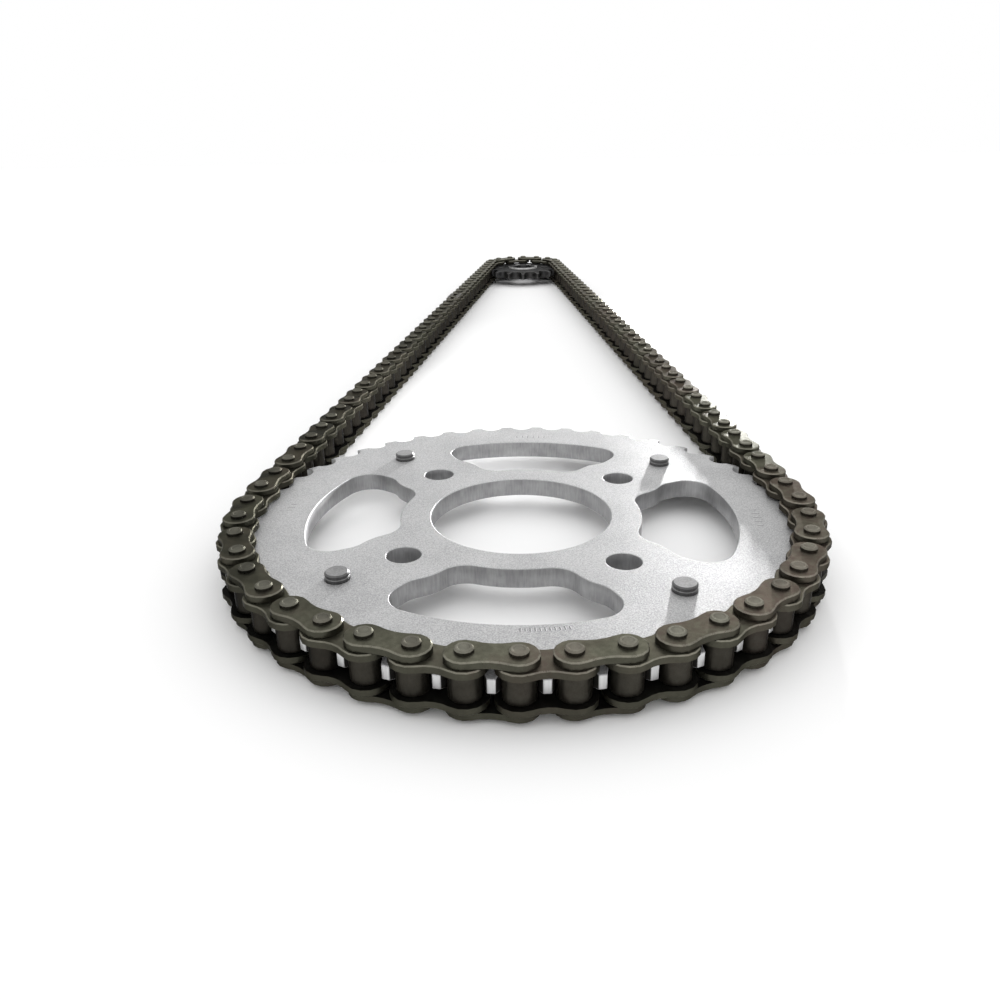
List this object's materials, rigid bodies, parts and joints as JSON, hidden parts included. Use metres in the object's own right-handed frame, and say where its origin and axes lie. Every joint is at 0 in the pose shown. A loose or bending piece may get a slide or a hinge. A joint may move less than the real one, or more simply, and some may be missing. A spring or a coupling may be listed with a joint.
{
  "type": "roller chain and sprocket set",
  "caption": "Roller chain closed round a large flat sprocket and a small splined one, with waisted plates, riveted pins, bushes, rollers and a spring-clip connecting link.",
  "frame": {"origin": "on the large sprocket's axis, in the chain's middle plane", "axes": "+Y from the large sprocket's axis to the small one's, +Z along both axes, up from the surface that the loop lies on"},
  "size_m": [0.1898, 0.6775, 0.0184],
  "materials": {
    "inner_plates": "dark oiled, heat-blackened steel",
    "outer_plates": "dark oiled, heat-blackened steel",
    "pins": "polished, worn at the peened ends",
    "bushes": "dark steel",
    "rollers": "dark steel, satin",
    "clip_steel": "spring steel",
    "zinc_plate": "zinc-plated, speckled matt",
    "peg_steel": "turned steel",
    "dark_sprocket": "dark hardened steel with a bright hub"
  },
  "bodies": {
    "left_run": {"connecting_clip": "clip_steel", "connecting_cover_plate": "outer_plates", "connecting_fixed_plate": "outer_plates", "connecting_pins": "pins", "left_run_bushes": "bushes", "left_run_inner_plates_lower": "inner_plates", "left_run_inner_plates_upper": "inner_plates", "left_run_outer_plates_lower": "outer_plates", "left_run_outer_plates_upper": "outer_plates", "left_run_pins": "pins", "left_run_rollers": "rollers"},
    "free_roller_1": {"free_roller_1": "rollers"},
    "free_roller_2": {"free_roller_2": "rollers"},
    "free_roller_3": {"free_roller_3": "rollers"},
    "free_roller_4": {"free_roller_4": "rollers"},
    "free_roller_5": {"free_roller_5": "rollers"},
    "free_roller_6": {"free_roller_6": "rollers"},
    "free_roller_7": {"free_roller_7": "rollers"},
    "free_roller_8": {"free_roller_8": "rollers"},
    "front": {"front_sprocket": "dark_sprocket", "front_wrap_bushes": "bushes", "front_wrap_inner_plates_lower": "inner_plates", "front_wrap_inner_plates_upper": "inner_plates", "front_wrap_outer_plates_lower": "outer_plates", "front_wrap_outer_plates_upper": "outer_plates", "front_wrap_pins": "pins", "front_wrap_rollers": "rollers"},
    "left_joint_link": {"left_joint_link_outer_plates_lower": "outer_plates", "left_joint_link_outer_plates_upper": "outer_plates", "left_joint_link_pins": "pins"},
    "rear": {"rear_sprocket": "zinc_plate", "rear_sprocket_pegs": "peg_steel", "rear_wrap_bushes": "bushes", "rear_wrap_inner_plates_lower": "inner_plates", "rear_wrap_inner_plates_upper": "inner_plates", "rear_wrap_outer_plates_lower": "outer_plates", "rear_wrap_outer_plates_upper": "outer_plates", "rear_wrap_pins": "pins", "rear_wrap_rollers": "rollers"},
    "right_joint_link": {"right_joint_link_outer_plates_lower": "outer_plates", "right_joint_link_outer_plates_upper": "outer_plates", "right_joint_link_pins": "pins"},
    "right_run": {"right_run_bushes": "bushes", "right_run_inner_plates_lower": "inner_plates", "right_run_inner_plates_upper": "inner_plates", "right_run_outer_plates_lower": "outer_plates", "right_run_outer_plates_upper": "outer_plates", "right_run_pins": "pins", "right_run_rollers": "rollers"}
  },
  "joints": [
    {"name": "right_joint_turn", "type": "hinge", "parent": "right_run", "child": "right_joint_link", "pos_m": [0.08811, 0.01267, 0], "axis": [0, 0, 1], "range_deg": [0, 2.13]},
    {"name": "chain_drive", "type": "hinge", "parent": "right_joint_link", "child": "rear", "pos_m": [0.08901, 0, 0], "axis": [0, 0, 1], "range_deg": [0, 6.06]},
    {"name": "left_joint_turn", "type": "hinge", "parent": "rear", "child": "left_joint_link", "pos_m": [-0.08811, 0.01267, 0], "axis": [0, 0, 1], "range_deg": [-6.06, 0]},
    {"name": "left_run_turn", "type": "hinge", "parent": "left_joint_link", "child": "left_run", "pos_m": [-0.08673, 0.02529, 0], "axis": [0, 0, 1], "range_deg": [-2.13, 0]},
    {"name": "front_turn", "type": "hinge", "parent": "right_run", "child": "front", "pos_m": [0.03037, 0.54293, 0], "axis": [0, 0, 1], "range_deg": [0, 24.01]},
    {"name": "free_roller_1_spin", "type": "hinge", "parent": "rear", "child": "free_roller_1", "pos_m": [-0.04812, -0.07488, 0], "axis": [0, 0, 1], "continuous": true},
    {"name": "free_roller_2_spin", "type": "hinge", "parent": "rear", "child": "free_roller_2", "pos_m": [-0.03698, -0.08097, 0], "axis": [0, 0, 1], "continuous": true},
    {"name": "free_roller_3_spin", "type": "hinge", "parent": "rear", "child": "free_roller_3", "pos_m": [-0.02508, -0.08541, 0], "axis": [0, 0, 1], "continuous": true},
    {"name": "free_roller_4_spin", "type": "hinge", "parent": "rear", "child": "free_roller_4", "pos_m": [-0.01267, -0.08811, 0], "axis": [0, 0, 1], "continuous": true},
    {"name": "free_roller_5_spin", "type": "hinge", "parent": "rear", "child": "free_roller_5", "pos_m": [0, -0.08901, 0], "axis": [0, 0, 1], "continuous": true},
    {"name": "free_roller_6_spin", "type": "hinge", "parent": "rear", "child": "free_roller_6", "pos_m": [0.01267, -0.08811, 0], "axis": [0, 0, 1], "continuous": true},
    {"name": "free_roller_7_spin", "type": "hinge", "parent": "rear", "child": "free_roller_7", "pos_m": [0.02508, -0.08541, 0], "axis": [0, 0, 1], "continuous": true},
    {"name": "free_roller_8_spin", "type": "hinge", "parent": "rear", "child": "free_roller_8", "pos_m": [0.03698, -0.08097, 0], "axis": [0, 0, 1], "continuous": true}
  ],
  "couplings": [
    {"joint": "right_joint_turn", "follows": "chain_drive", "ratio": 0.35029},
    {"joint": "left_joint_turn", "follows": "chain_drive", "ratio": -1},
    {"joint": "left_run_turn", "follows": "chain_drive", "ratio": -0.35029},
    {"joint": "front_turn", "follows": "chain_drive", "ratio": 3.9608}
  ]
}
